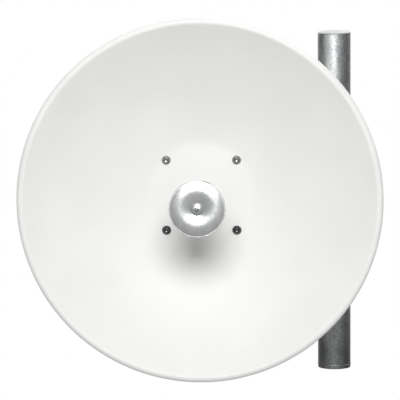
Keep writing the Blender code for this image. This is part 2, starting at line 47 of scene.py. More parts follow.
# Turns that point a shape's own Z along a world direction
toFront = (radians(90), 0, 0)
toRear = (radians(-90), 0, 0)
toLeft = (0, radians(-90), 0)
toRight = (0, radians(90), 0)
toFloor = (radians(180), 0, 0)
alongX = (radians(90), 0, radians(90))
upright = (0, 0, 0)

axisX, axisZ = -0.240, 0.338   # the dish's axis, which runs along Y
gap = 0.0003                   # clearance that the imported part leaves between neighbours


def levels(node):
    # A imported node's front and rear along Y
    low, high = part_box(node)
    return low.y, high.y


def fromAxis(y, x=0.0, z=0.0):
    # The point at that level along Y, x and z away from the dish's axis
    return (axisX + x, y, axisZ + z)


plateFront, plateRear = levels("hub_plate")
lipY = levels("subreflector")[1] - 0.0004   # the disc's rolled edge reaches a little behind this
boltSpacing = 0.127
boltPlaces = [(x * boltSpacing / 2, z * boltSpacing / 2) for x, z in ((-1, 1), (1, 1), (-1, -1), (1, -1))]


# Camera: the photo looks at the rim from five metres, a little from above and from the right
view = {"distance": 5.0, "azimuth": 2.2, "elevation": 6.7, "lens": 254.8, "roll": -0.35, "reach": 60.0,
        "target": fromAxis(-0.242, 0.0010, 0.0030)}


def fromTarget(target, distance, azimuth, elevation):
    side = radians(azimuth)
    up = radians(elevation)
    return Vector(target) + distance * Vector((sin(side) * cos(up),
                                               -cos(side) * cos(up), sin(up)))


def aimed(thing, target):
    thing.rotation_euler = (Vector(target) - thing.location).to_track_quat("-Z", "Y").to_euler()
    bpy.context.scene.collection.objects.link(thing)


def addCamera():
    lens = bpy.data.cameras.new("camera")
    lens.lens = view["lens"]
    lens.clip_end = view["reach"]
    camera = bpy.data.objects.new("camera", lens)
    camera.location = fromTarget(view["target"], view["distance"], view["azimuth"], view["elevation"])
    aimed(camera, view["target"])
    camera.rotation_euler.rotate_axis("Z", radians(view["roll"]))
    bpy.context.scene.camera = camera


# Lights: a wide soft lamp high in front that gives the feed its shadow, and two dimmer ones behind
lamps = {"key": {"distance": 4.2, "azimuth": 2.5, "elevation": 23, "size": (1.75, 1.40), "watts": 129},
         "over": {"distance": 4.0, "azimuth": 150, "elevation": 50, "size": (2.4, 2.4), "watts": 72},
         "rearLeft": {"distance": 4.0, "azimuth": 193, "elevation": 18, "size": (1.8, 1.8), "watts": 44}}
lampTarget = fromAxis(-0.14)


def addLights():
    for name, lamp in lamps.items():
        light = bpy.data.lights.new(name, "AREA")
        light.shape = "ELLIPSE"
        light.size, light.size_y = lamp["size"]
        light.energy = lamp["watts"]
        thing = bpy.data.objects.new(name, light)
        thing.location = fromTarget(lampTarget, lamp["distance"], lamp["azimuth"], lamp["elevation"])
        aimed(thing, lampTarget)


# Colours and shader nodes

def hexColour(code):
    parts = [int(code[i:i + 2], 16) / 255 for i in (1, 3, 5)]
    return tuple(c / 12.92 if c <= 0.04045 else ((c + 0.055) / 1.055) ** 2.4 for c in parts) + (1.0,)


def grey(level):
    # Brightness of the sky or of a mask, which isn't a surface's colour
    return (level, level, level, 1.0)


def join(tree, node, sources):
    # A source is an output, or a node that stands for its first output
    for socket, source in sources.items():
        if isinstance(source, bpy.types.Node):
            source = source.outputs[0]
        tree.links.new(source, node.inputs[socket])


def addNode(tree, kind, settings=None, sources=None):
    node = tree.nodes.new("ShaderNode" + kind)
    for name, value in (settings or {}).items():
        if isinstance(name, int) or name in node.inputs:
            node.inputs[name].default_value = value
        elif name == "stops":   # a ramp's places, each with a hex colour or a level of grey
            ramp = node.color_ramp
            for i, (place, colour) in enumerate(value):
                stop = ramp.elements[i] if i < 2 else ramp.elements.new(place)
                stop.position = place
                stop.color = hexColour(colour) if isinstance(colour, str) else grey(colour)
        elif name == "span":    # a range and the range it is mapped to
            for socket, number in zip(("From Min", "From Max", "To Min", "To Max"), value):
                node.inputs[socket].default_value = number
        else:
            setattr(node, name, value)
    join(tree, node, sources or {})
    return node


def newLook(name, colour, roughness, metallic, more=None):
    look = bpy.data.materials.new(name)
    look.use_nodes = True
    tree = look.node_tree
    settings = {"Base Color": hexColour(colour), "Roughness": roughness, "Metallic": metallic}
    for socket, value in {**settings, **(more or {})}.items():
        tree.nodes["Principled BSDF"].inputs[socket].default_value = value
    return look, tree, addNode(tree, "TexCoord").outputs["Object"]


def wired(look, sources):
    join(look.node_tree, look.node_tree.nodes["Principled BSDF"], sources)
    return look


def clouded(start, stops, gloss, clouds, grain, relief):
    # A skin whose tone and gloss drift in soft clouds, over a fine grain in relief
    look, tree, place = start
    cloud = addNode(tree, "TexNoise", clouds, {"Vector": place})
    tone = addNode(tree, "ValToRGB", {"stops": stops}, {"Fac": cloud})
    dull = addNode(tree, "MapRange", {"span": gloss}, {"Value": cloud})
    fine = addNode(tree, "TexNoise", grain, {"Vector": place})
    bump = addNode(tree, "Bump", relief, {"Height": fine})
    return wired(look, {"Base Color": tone, "Roughness": dull, "Normal": bump})


def powderCoatWhite():
    # Polyester powder coat on aluminium: warm white, semi-gloss, with orange peel about 2 mm across
    look, tree, place = newLook("powder coat white", "#EFEFED", 0.50, 0.0, {"IOR": 1.5})
    peel = addNode(tree, "TexNoise", {"Scale": 520.0, "Detail": 1.0, "Roughness": 0.4}, {"Vector": place})
    wave = addNode(tree, "TexNoise", {"Scale": 9.0, "Detail": 2.0}, {"Vector": place})
    tone = addNode(tree, "ValToRGB", {"stops": [(0.30, "#EDEDEB"), (0.70, "#F1F1EF")]}, {"Fac": wave})
    gloss = addNode(tree, "MapRange", {"span": (0.3, 0.7, 0.46, 0.54)}, {"Value": wave})
    bump = addNode(tree, "Bump", {"Strength": 0.22, "Distance": 0.00010}, {"Height": peel})
    # specks of dust under the coat: one 30 mm cell in fourteen holds a dot about 1 mm across
    cell = addNode(tree, "TexVoronoi", {"Scale": 34.0, "Randomness": 1.0}, {"Vector": place})
    dot = addNode(tree, "Math", {"operation": "LESS_THAN", 1: 0.018}, {0: cell.outputs["Distance"]})
    hue = addNode(tree, "SeparateColor", {}, {"Color": cell.outputs["Color"]})
    few = addNode(tree, "Math", {"operation": "GREATER_THAN", 1: 0.93}, {0: hue.outputs["Red"]})
    speck = addNode(tree, "Math", {"operation": "MULTIPLY"}, {0: dot, 1: few})
    paint = addNode(tree, "Mix", {"data_type": "RGBA", 7: hexColour("#8C8B84")}, {0: speck, 6: tone})
    return wired(look, {"Base Color": paint.outputs[2], "Roughness": gloss, "Normal": bump})


def spunAluminium():
    # Aluminium sheet spun on a lathe: satin, with turning marks half a millimetre apart, a faint speckle,
    # and a light radial brushing that spreads the sheen round the disc
    brushing = {"Anisotropic": 0.22, "Anisotropic Rotation": 0.25}
    look, tree, place = newLook("spun aluminium", "#EFF1F0", 0.29, 1.0, brushing)
    centred = addNode(tree, "Mapping", {"Location": (-axisX, 0.0, -axisZ), "Scale": (1.0, 0.0, 1.0)},
                      {"Vector": place})
    radius = addNode(tree, "VectorMath", {"operation": "LENGTH"}, {"Vector": centred})
    marks = {"noise_dimensions": "1D", "Scale": 1900.0, "Detail": 3.0, "Roughness": 0.7}
    rings = addNode(tree, "TexNoise", marks, {"W": radius.outputs["Value"]})
    speckle = addNode(tree, "TexNoise", {"Scale": 330.0, "Detail": 3.0, "Roughness": 0.6}, {"Vector": place})
    blotch = addNode(tree, "TexNoise", {"Scale": 60.0, "Detail": 2.0}, {"Vector": place})
    sheen = addNode(tree, "MapRange", {"span": (0.35, 0.65, 0.27, 0.35)}, {"Value": speckle})
    tone = addNode(tree, "ValToRGB", {"stops": [(0.30, "#E4E8E6"), (0.70, "#F6F7F6")]}, {"Fac": blotch})
    both = addNode(tree, "Math", {"operation": "ADD"}, {0: rings, 1: speckle})
    bump = addNode(tree, "Bump", {"Strength": 0.30, "Distance": 0.00006}, {"Height": both})
    return wired(look, {"Base Color": tone, "Roughness": sheen, "Normal": bump, "Tangent": centred})


def dieCastAluminium():
    # Pressure die-cast aluminium, shot-blasted: dull grey, with faint flow marks and a fine even grain
    return clouded(newLook("die-cast aluminium", "#B4B6B7", 0.50, 1.0),
                   [(0.32, "#A6A8AA"), (0.70, "#BFC1C1")], (0.3, 0.7, 0.44, 0.58),
                   {"Scale": 26.0, "Detail": 4.0, "Distortion": 1.2},
                   {"Scale": 900.0, "Detail": 3.0, "Roughness": 0.65},
                   {"Strength": 0.45, "Distance": 0.00012})


def metalPlate(name, light, dark, roughness):
    # Thin metal plate on cold-headed steel or brass: smooth, slightly clouded
    return clouded(newLook(name, light, roughness, 1.0),
                   [(0.30, dark), (0.70, light)], (0.3, 0.7, roughness - 0.04, roughness + 0.08),
                   {"Scale": 240.0, "Detail": 3.0},
                   {"Scale": 1500.0, "Detail": 1.0}, {"Strength": 0.12, "Distance": 0.00005})


def mouldedPlastic(name, light, dark, roughness, grain):
    # Injection-moulded plastic: even colour, satin skin with a fine spark-eroded grain
    return clouded(newLook(name, light, roughness, 0.0, {"IOR": 1.49}),
                   [(0.30, dark), (0.70, light)], (0.3, 0.7, roughness - 0.05, roughness + 0.06),
                   {"Scale": 45.0, "Detail": 3.0},
                   {"Scale": grain, "Detail": 2.0}, {"Strength": 0.20, "Distance": 0.00008})


def weldSteel():
    # Weld bead under zinc: rougher and a little darker than the sheet beside it
    look, tree, place = newLook("galvanised weld", "#96999B", 0.50, 1.0)
    crust = addNode(tree, "TexNoise", {"Scale": 380.0, "Detail": 4.0, "Roughness": 0.7}, {"Vector": place})
    tone = addNode(tree, "ValToRGB", {"stops": [(0.30, "#7E8183"), (0.70, "#A9ACAD")]}, {"Fac": crust})
    bump = addNode(tree, "Bump", {"Strength": 0.6, "Distance": 0.0004}, {"Height": crust})
    return wired(look, {"Base Color": tone, "Normal": bump})


def hotDipGalvanised(name, spangle, stretch, mottle, shadedFoot=1.0):
    # Steel dipped in zinc: grey crystals 5 to 9 mm across, longer along a pipe, each with its own faint
    # tone and gloss, under a grain about 2 mm across. A pipe's lowest hand's width can be darkened as painted
    # shade
    look, tree, place = newLook(name, "#C4C6C7", 0.44, 1.0)
    bent = addNode(tree, "TexNoise", {"Scale": 190.0, "Detail": 3.0}, {"Vector": place})
    shifted = addNode(tree, "Mix", {"data_type": "VECTOR", 0: 0.005}, {4: place, 5: bent.outputs["Color"]})
    scaled = addNode(tree, "Mapping", {"Scale": stretch}, {"Vector": shifted.outputs[1]})
    crystals = addNode(tree, "TexVoronoi", {"Scale": spangle, "Randomness": 1.0}, {"Vector": scaled})
    own = addNode(tree, "SeparateColor", {}, {"Color": crystals.outputs["Color"]}).outputs
    # runs of zinc, 17 mm wide and 200 mm long
    runs = addNode(tree, "Mapping", {"Scale": (60.0, 60.0, 5.0)}, {"Vector": place})
    streaks = addNode(tree, "TexNoise", {"Scale": 1.0, "Detail": 5.0, "Roughness": 0.6}, {"Vector": runs})
    mixed = addNode(tree, "Mix", {"data_type": "FLOAT", 0: 0.45}, {2: own["Red"], 3: streaks})
    stops = [(0.12, "#B7BABC"), (0.85, "#D6D8D8"), (0.50, "#C8CACB")]
    tone = addNode(tree, "ValToRGB", {"stops": stops}, {"Fac": mixed})
    gloss = addNode(tree, "MapRange", {"span": (0.0, 1.0, 0.38, 0.50)}, {"Value": own["Green"]})
    fine = addNode(tree, "TexNoise", {"Scale": 420.0, "Detail": 2.0}, {"Vector": place})
    grain = addNode(tree, "MapRange", {"span": (0.36, 0.60, mottle, 1.05)}, {"Value": fine})
    height = addNode(tree, "Math", {"operation": "MULTIPLY_ADD", 1: 0.6}, {0: own["Blue"], 2: fine})
    bump = addNode(tree, "Bump", {"Strength": 0.22, "Distance": 0.00012}, {"Height": height})
    split = addNode(tree, "SeparateXYZ", {}, {"Vector": place})
    # painted shade: the tone darkens from 16 cm down to 3 cm above the pipe's bottom
    footShade = addNode(tree, "MapRange", {"span": (0.03, 0.16, shadedFoot, 1.0)}, {"Value": split.outputs["Z"]})
    multiply = {"data_type": "RGBA", "blend_type": "MULTIPLY", 0: 1.0}
    footShaded = addNode(tree, "Mix", multiply, {6: tone, 7: footShade})
    mottled = addNode(tree, "Mix", multiply, {6: footShaded.outputs[2], 7: grain})
    return wired(look, {"Base Color": mottled.outputs[2], "Roughness": gloss, "Normal": bump})


# Each finish: its material, the record's slot, and the bend in degrees past which an edge stays crisp.
# The lower two cup bolts take a darker copy of the zinc plate, and the pole's foot is darkened: both are
# painted shade
sheetZinc = hotDipGalvanised("hot-dip galvanised sheet", 150.0, (1.0, 1.0, 1.0), 0.90)
pipeZinc = hotDipGalvanised("hot-dip galvanised pipe", 120.0, (1.0, 1.0, 0.6), 0.70, 0.50)
finishes = {
    "paint": (powderCoatWhite(), "white_paint", 50),
    "spun": (spunAluminium(), "spun_aluminium", 40),
    "cast": (dieCastAluminium(), "cast_aluminium", 32),
    "steel": (sheetZinc, "galvanised_steel", 50),
    "pipe": (pipeZinc, "galvanised_steel", 32),
    "weld": (weldSteel(), "galvanised_steel", 32),
    "mark": (metalPlate("etched steel", "#5C5E60", "#4C4E50", 0.50), "galvanised_steel", 32),
    "bolt": (metalPlate("bright zinc plate", "#A9ABAB", "#94979A", 0.28), "plated_fastener", 32),
    "cupBolt": (metalPlate("clear zinc plate", "#C2C3C1", "#A9AAA8", 0.24), "plated_fastener", 40),
    "cupBoltShaded": (metalPlate("zinc plate with painted shade", "#727475", "#606264", 0.20), "plated_fastener", 40),
    "nickel": (metalPlate("nickel plate", "#C9C3B4", "#B9B3A3", 0.20), "nickel_plate", 32),
    "gold": (metalPlate("gold plate", "#E0BE76", "#CFA95C", 0.22), "nickel_plate", 32),
    "cone": (mouldedPlastic("white polycarbonate", "#E6E6E0", "#DEDED7", 0.38, 800.0), "white_plastic", 40),
    "liner": (mouldedPlastic("white fluoroplastic", "#F0F0EE", "#E8E8E5", 0.45, 900.0), "white_plastic", 32),
    "cap": (mouldedPlastic("grey polyethylene", "#D4D6D7", "#C9CBCC", 0.44, 700.0), "grey_plastic", 32),
}
print("materials ready")


# Outlines

def evenly(start, end, count):
    return [start + (end - start) * i / count for i in range(count + 1)]


def arcPoints(x, y, radius, start, end, steps):
    angles = [radians(a) for a in evenly(start, end, steps)]
    return [(x + radius * cos(a), y + radius * sin(a)) for a in angles]


def circle(x, y, radius, steps=28):
    return arcPoints(x, y, radius, 0, 360, steps)[:-1]


def softened(outline, radius, closed=False):
    # Rounds an outline's corners, apart from its open ends and bends of less than 20 degrees
    result = []
    count = len(outline)
    for i, here in enumerate(outline):
        point = Vector(here)
        before, after = Vector(outline[i - 1]) - point, Vector(outline[(i + 1) % count]) - point
        opening = before.angle(after)
        if degrees(pi - opening) < 20 or not closed and i in (0, count - 1):
            result.append(here)
            continue
        reach = min(radius / tan(opening / 2), before.length * 0.48, after.length * 0.48)
        first, last = point + before.normalized() * reach, point + after.normalized() * reach
        for t in evenly(0, 1, 3):
            result.append(tuple(first * (1 - t) ** 2 + point * 2 * t * (1 - t) + last * t ** 2))
    return result


def bandOutline(inner, outer, low, high, radius):
    return softened([(inner, low), (outer, low), (outer, high), (inner, high)], radius, closed=True)


# Shapes

def placed(shape, known, place=(0, 0, 0), turn=upright):
    fresh = [vert for vert in shape.verts if vert not in known]
    spot = Matrix.Translation(place) @ Euler(turn).to_matrix().to_4x4()
    bmesh.ops.transform(shape, matrix=spot, verts=fresh)


def addTurned(shape, outline, steps=64, place=(0, 0, 0), turn=upright):
    # Spins an outline of (radius, height) round its own Z, closed where it starts away from the axis
    known = set(shape.verts)
    points = [shape.verts.new((radius, 0, height)) for radius, height in outline]
    edges = [shape.edges.new(pair) for pair in zip(points, points[1:])]
    if outline[0][0] > 1e-6:
        edges.append(shape.edges.new((points[-1], points[0])))
    bmesh.ops.spin(shape, geom=points + edges, cent=(0, 0, 0), axis=(0, 0, 1),
                   angle=2 * pi, steps=steps, use_merge=True)
    placed(shape, known, place, turn)


def addLoops(shape, loops, sides, place=(0, 0, 0), turn=upright, closed=False):
    # Draws a ring of edges up through loops, each a radius and height, or a function of the angle for them
    known = set(shape.verts)
    ring = bmesh.ops.create_circle(shape, radius=1, segments=sides, cap_ends=not closed)["verts"]
    edges = list({edge for vert in ring for edge in vert.link_edges})
    for index, loop in enumerate(loops + loops[:1] if closed else loops):
        if index:
            grown = bmesh.ops.extrude_edge_only(shape, edges=edges)["geom"]
            ring = [item for item in grown if isinstance(item, bmesh.types.BMVert)]
            edges = [item for item in grown if isinstance(item, bmesh.types.BMEdge)
                     and item.verts[0] in ring and item.verts[1] in ring]
        for vert in ring:
            angle = atan2(vert.co.y, vert.co.x)
            radius, height = loop(angle) if callable(loop) else loop
            vert.co = (radius * cos(angle), radius * sin(angle), height)
    if closed:
        bmesh.ops.remove_doubles(shape, verts=[v for v in shape.verts if v not in known], dist=1e-7)
    else:
        bmesh.ops.edgeloop_fill(shape, edges=edges)
    placed(shape, known, place, turn)


def hexAt(flats, height, fall=0.0):
    # Hexagon of that width across its flats, whose corners fall that steeply below its height
    def loop(angle):
        corner = flats / 2 / cos((angle + pi / 6) % (pi / 3) - pi / 6)
        return corner, height - fall * (corner - flats / 2)
    return loop


def eased(shape, edges, size, segments):
    bmesh.ops.bevel(shape, geom=edges, offset=size, offset_type="OFFSET", affect="EDGES",
                    segments=segments, profile=0.5, material=-1)


def addPlate(shape, outline, holes, thickness, edge, place=(0, 0, 0), turn=upright, bottom=0.0):
    # Flat plate in XY with holes, its rims softened
    known = set(shape.verts)
    rims = []
    for loop in [outline] + holes:
        points = [shape.verts.new((x, y, bottom)) for x, y in loop]
        rims += [shape.edges.new(pair) for pair in zip(points, points[1:] + points[:1])]
    filled = bmesh.ops.triangle_fill(shape, edges=rims, use_beauty=True, normal=(0, 0, 1))["geom"]
    faces = [item for item in filled if isinstance(item, bmesh.types.BMFace)]
    grown = bmesh.ops.extrude_face_region(shape, geom=faces)["geom"]
    lifted = [item for item in grown if isinstance(item, bmesh.types.BMVert)]
    bmesh.ops.translate(shape, verts=lifted, vec=(0, 0, thickness))
    fresh = {vert for vert in shape.verts if vert not in known}
    bmesh.ops.recalc_face_normals(shape, faces=[f for f in shape.faces if f.verts[0] in fresh])
    crisp = [e for e in shape.edges if e.verts[0] in fresh and len(e.link_faces) == 2
             and abs(e.link_faces[0].normal.z - e.link_faces[1].normal.z) > 0.5]
    eased(shape, crisp, edge, 2)
    placed(shape, known, place, turn)


def addBlock(shape, size, edge, place=(0, 0, 0), turn=upright):
    known = set(shape.verts)
    verts = bmesh.ops.create_cube(shape, size=1)["verts"]
    bmesh.ops.scale(shape, verts=verts, vec=size)
    eased(shape, list({e for vert in verts for e in vert.link_edges}), edge, 3)
    placed(shape, known, place, turn)


def cutAcross(shape, start, along, length, pieces):
    # Lines across a flat sheet where it will bend
    for reach in evenly(0, length, pieces):
        bmesh.ops.bisect_plane(shape, geom=shape.verts[:] + shape.edges[:] + shape.faces[:],
                               plane_co=Vector(start) + Vector(along) * reach, plane_no=along, dist=1e-6)


def fold(verts, start, along, radius):
    # Bends the verts past a line squarely up along Z, round a neutral radius
    for vert in verts:
        reach, height = (vert.co - Vector(start)).dot(Vector(along)), vert.co.z
        if reach > 0:
            turned = min(reach / radius, pi / 2)
            beyond = max(0.0, reach - radius * pi / 2)
            out = (radius - height) * sin(turned) + beyond * cos(turned)
            vert.co += Vector(along) * (out - reach)
            vert.co.z = radius - (radius - height) * cos(turned) + beyond * sin(turned)


def addBead(shape, start, end, radius, pitch=0.0028, sides=10):
    # Weld bead with its ripples and blunt ends, from one point to another
    start, end = Vector(start), Vector(end)
    length = (end - start).length
    count = max(4, int(length / pitch) * 3)
    loops = []
    for i, share in enumerate(evenly(0, 1, count)):
        tip = min(1.0, 0.55 + min(share, 1 - share) * length / radius * 0.45)
        ripple = 1 + 0.045 * (i % 3 == 1) + 0.02 * sin(i * 2.3)
        loops.append((radius * tip * ripple, length * share))
    addLoops(shape, loops, sides, start, (end - start).to_track_quat("Z", "Y").to_euler())


def makePiece(shape, name, finish, node=None):
    material, slot, sharp = finishes[finish]
    bmesh.ops.remove_doubles(shape, verts=shape.verts, dist=1e-6)
    bmesh.ops.recalc_face_normals(shape, faces=shape.faces)
    mesh = bpy.data.meshes.new(name)
    shape.to_mesh(mesh)
    shape.free()
    mesh.shade_smooth()
    mesh.set_sharp_from_angle(angle=radians(sharp))
    mesh.materials.append(material)
    piece = bpy.data.objects.new(name, mesh)
    bpy.context.scene.collection.objects.link(piece)
    if finish in ("steel", "cast"):   # wide flat faces keep one tone beside their rounded edges
        piece.modifiers.new("faceWeights", "WEIGHTED_NORMAL").keep_sharp = True
    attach(piece, "root")
    if node:
        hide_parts(node)


def turnedPiece(name, finish, node, outline, steps, place=(0, 0, 0), turn=upright):
    shape = bmesh.new()
    addTurned(shape, outline, steps, place, turn)
    makePiece(shape, name, finish, node)


# Threads, nuts and bolts
bolts = {
    "m6": {"shank": 0.003, "pitch": 0.00100, "flats": 0.010, "nut": 0.0055, "flange": 0.0068},
    "m8": {"shank": 0.004, "pitch": 0.00125, "flats": 0.013, "nut": 0.008, "flange": 0.0086, "head": 0.0053},
    "m10": {"shank": 0.005, "pitch": 0.00150, "flats": 0.017, "nut": 0.010, "flange": 0.0112, "head": 0.0064},
}
chamfer = tan(radians(28))   # slope of a hexagon's corners


def threadOutline(radius, pitch, low, high):
    # Outer side of a threaded rod from low to high, as (radius, height)
    depth = pitch * 0.55
    count = int((high - low) / pitch)
    points = []
    for i in range(count):
        foot = low + pitch * i
        points += [(radius, foot), (radius, foot + pitch * 0.15),
                   (radius - depth, foot + pitch * 0.5), (radius - depth, foot + pitch * 0.62)]
    return points + [(radius, low + pitch * count), (radius, high)]


def addHexBolt(shape, size, length, thread, place, turn):
    # Head from height 0 up, shank from 0 down
    bolt = bolts[size]
    flats, head, shank = bolt["flats"], bolt["head"], bolt["shank"]
    loops = [(flats * 0.30, head - 0.0003), (flats * 0.42, head), (flats * 0.475, head),
             hexAt(flats, head, chamfer), hexAt(flats, 0.0006),
             (flats * 0.485, 0.0004), (flats * 0.485, 0.0), (shank, 0.0)]
    addLoops(shape, loops, 36, place, turn)
    rod = [(0, -length), (shank - 0.0010, -length)]
    rod += threadOutline(shank, bolt["pitch"], -length + 0.0010, -length + thread)
    rod += [(shank - 0.00005, 0.0002), (0, 0.0002)]
    addTurned(shape, rod, 28, place, turn)


def addNut(name, node, size, place, turn):
    # Nut on height 0, with a flange under it
    bolt = bolts[size]
    flats, height, flange, bore = bolt["flats"], bolt["nut"], bolt["flange"], bolt["shank"] - 0.0001
    loops = [(bore, 0.0), (flange, 0.0), (flange, 0.0008), (flange - 0.0006, 0.0014),
             (flats * 0.56, 0.0019), hexAt(flats, 0.0024), hexAt(flats, height, chamfer),
             (flats * 0.475, height), (bore + 0.0006, height), (bore, height - 0.0006)]
    shape = bmesh.new()
    addLoops(shape, loops, 36, place, turn, closed=True)
    makePiece(shape, name, "bolt", node)


def addSocketScrew(shape, radius, height, key, place, domed=False, turn=toRear):
    # Cap screw on height 0 with a hexagon recess
    loops = [(radius, 0.0), (radius, height * (0.45 if domed else 0.86))]
    if domed:
        loops += [(radius * 0.93, height * 0.72), (radius * 0.80, height * 0.92)]
    loops += [(radius * (0.66 if domed else 0.90), height), (key * 0.62, height),
              hexAt(key, height - 0.0003), hexAt(key, height * 0.35), (key * 0.2, height * 0.30)]
    addLoops(shape, loops, 36, place, turn)


# Reflector, pressed from one sheet and rolled back at the rim
dish = {"radius": 0.325, "focal": 0.226, "sheet": 0.002, "hole": 0.0245, "flat": 0.088, "blend": 0.104,
        "curl": 0.008, "skirt": 0.008, "hem": 0.0016, "lip": 0.0016, "rimToPole": 0.24187, "steps": 256}


def dishLevel(radius):
    # Height of the front face over the paraboloid's lowest point, and its slope
    focal, flat, blend = dish["focal"], dish["flat"], dish["blend"]
    if radius >= blend:
        return radius ** 2 / (4 * focal), atan(radius / (2 * focal))
    rise = blend / (2 * focal) * (blend - flat) / 2
    share = max(0.0, (radius - flat) / (blend - flat))
    return blend ** 2 / (4 * focal) - rise * (1 - share ** 2), atan(share * blend / (2 * focal))


def addReflector():
    sheet, curl, radius, hem, lip = dish["sheet"], dish["curl"], dish["radius"], dish["hem"], dish["lip"]
    hole, flat, blend = dish["hole"], dish["flat"], dish["blend"]
    floor = dishLevel(0)[0]
    start = radius - curl * (1 + sin(atan(radius / (2 * dish["focal"]))))
    height, slope = dishLevel(start)
    top = height + curl * (1 - cos(slope))
    bend = 90 + degrees(slope)
    edge = top - curl - dish["skirt"]
    radii = evenly(hole + lip, flat, 14)[:-1] + evenly(flat, blend, 8)[:-1] + evenly(blend, start, 44)[:-1]
    outline = arcPoints(hole + lip, floor - lip, lip, 180, 90, 4)[:-1]
    outline += [(r, dishLevel(r)[0]) for r in radii]
    outline += arcPoints(radius - curl, top - curl, curl, bend, 0, 14)
    outline += arcPoints(radius - hem, edge, hem, 0, -180, 8)   # the sheet's edge, folded back on itself
    outline += [(radius - 2 * hem, edge + 0.0012), (radius - sheet, edge + 0.0020)]
    outline += arcPoints(radius - curl, top - curl, curl - sheet, 0, bend, 10)
    outline += [(r, dishLevel(r)[0] - sheet / cos(dishLevel(r)[1])) for r in reversed(radii)]
    outline += [(hole, floor - sheet)]
    turnedPiece("pressedReflector", "paint", "reflector", outline, dish["steps"],
                fromAxis(top - dish["rimToPole"]), toFront)


addReflector()
print("reflector built")


# Cup bolts in the dish: low domes with a small round dimple, flanged nuts behind
cup = {"radius": 0.0083, "rim": 0.0009, "dome": 0.0110, "dimple": 0.0042, "depth": 0.0014,
       "tip": 0.0100, "thread": 0.0130}


def addCupBolts():
    dome, dimple, depth = cup["dome"], cup["dimple"], cup["depth"]
    bolt = bolts["m6"]
    seatY = plateFront - gap - dish["sheet"]
    reach = plateRear - seatY + cup["tip"]
    side = asin(cup["radius"] / dome)
    middle = cup["rim"] - dome * cos(side)
    hollow = (dimple ** 2 + depth ** 2) / (2 * depth)   # radius of the dimple's curve
    floor = middle + sqrt(dome ** 2 - dimple ** 2) - depth
    outline = [(r, floor + hollow - sqrt(hollow ** 2 - r ** 2)) for r in evenly(0, dimple, 8)]
    start = asin((dimple + 0.0003) / dome)
    outline += arcPoints(0, middle, dome, 90 - degrees(start), 90 - degrees(side), 14)
    outline += [(cup["radius"] + 0.0001, cup["rim"] * 0.5), (cup["radius"] - 0.0002, -0.00005)]
    outline += [(bolt["shank"], -0.00005)]
    foot = -reach + 0.0008
    outline += reversed(threadOutline(bolt["shank"], bolt["pitch"], foot, foot + cup["thread"]))
    outline += [(bolt["shank"] - 0.0008, -reach), (0, -reach)]
    for i, (x, z) in enumerate(boltPlaces):
        # the upper two bolts take a lighter copy of the plating, the lower two a darker one: painted light
        # and shade
        turnedPiece(f"cupBolt{i + 1}", "cupBolt" if z > 0 else "cupBoltShaded", f"dish_bolt_{i + 1}",
                    outline, 48, fromAxis(seatY, x, z), toFront)
        addNut(f"cupNut{i + 1}", f"dish_nut_{i + 1}", "m6", fromAxis(plateRear + 0.0002, x, z), toRear)


addCupBolts()
print("cup bolts built")


# Feed disc: spun aluminium with a round ridge, a domed middle and a lip
disc = {"radius": 0.049, "sheet": 0.0016, "ridge": 0.0305, "height": 0.0059, "fall": 0.0044,
        "boss": 0.0108, "bossHeight": 0.0050, "bossFall": 0.0028, "hole": 0.0034, "lip": 0.0018,
        "lipTop": 0.0024, "screw": 0.0040, "screwHeight": 0.0024, "screwKey": 0.0025, "screwLength": 0.0055}


def discHeight(radius):
    # Front face over the lip's level: it falls away from the ridge to both sides
    if radius >= disc["ridge"]:
        share = (radius - disc["ridge"]) / (disc["radius"] - disc["ridge"])
    else:
        share = (disc["ridge"] - radius) / (disc["ridge"] - disc["boss"])
    return disc["height"] - disc["fall"] * share ** 1.9


def addFeedDisc():
    hole, boss, top = disc["hole"], disc["boss"], disc["bossHeight"]
    radius, sheet = disc["radius"], disc["sheet"]
    last = radius - disc["lip"]
    radii = evenly(boss + 0.0007, last, 40)
    outline = [(hole, top - 0.0004), (hole + 0.0003, top)]
    outline += [(hole + (boss - hole) * share, top - disc["bossFall"] * share ** 1.5)
                for share in evenly(0, 1, 10)[1:]]   # domed middle
    outline += [(r, discHeight(r)) for r in radii]
    # the lip flares forward by half a millimetre, then rolls back
    outline += arcPoints(radius - 0.0008, disc["lipTop"] - 0.0008, 0.0008, 110, 0, 6)
    outline += arcPoints(radius - 0.0006, 0.0002, 0.0006, 0, -90, 4)
    outline += [(radius - 0.0020, discHeight(last) - sheet)]
    outline += [(r, discHeight(r) - sheet) for r in reversed(radii[:-1])]
    outline += [(boss - 0.0016, top - 0.0042), (hole, top - 0.0034)]
    turnedPiece("spunDisc", "spun", "subreflector", outline, 160, fromAxis(lipY), toFront)
    shape = bmesh.new()
    addSocketScrew(shape, disc["screw"], disc["screwHeight"], disc["screwKey"],
                   fromAxis(lipY - top - 0.0001), domed=True, turn=toFront)
    shank = bolts["m6"]["shank"]
    rod = [(0, -disc["screwLength"]), (shank, -disc["screwLength"]), (shank, 0.0004), (0, 0.0004)]
    addTurned(shape, rod, 24, fromAxis(lipY - top), toFront)
    makePiece(shape, "discScrew", "bolt", "subreflector_screw")


addFeedDisc()
print("feed disc built")


# Feed: moulded cone, waveguide tube, cast flange, housing and cap behind the dish
feed = {"coneRadius": 0.0455, "coneLength": 0.050, "tubeRadius": 0.022, "wall": 0.002, "spigot": 0.016,
        "flangeRadius": 0.052, "flangeScrews": 0.0456, "bodyRadius": 0.038, "padReach": 0.041, "pad": 0.013,
        "padDepth": 0.020, "capRadius": 0.040, "capScrews": 0.029}


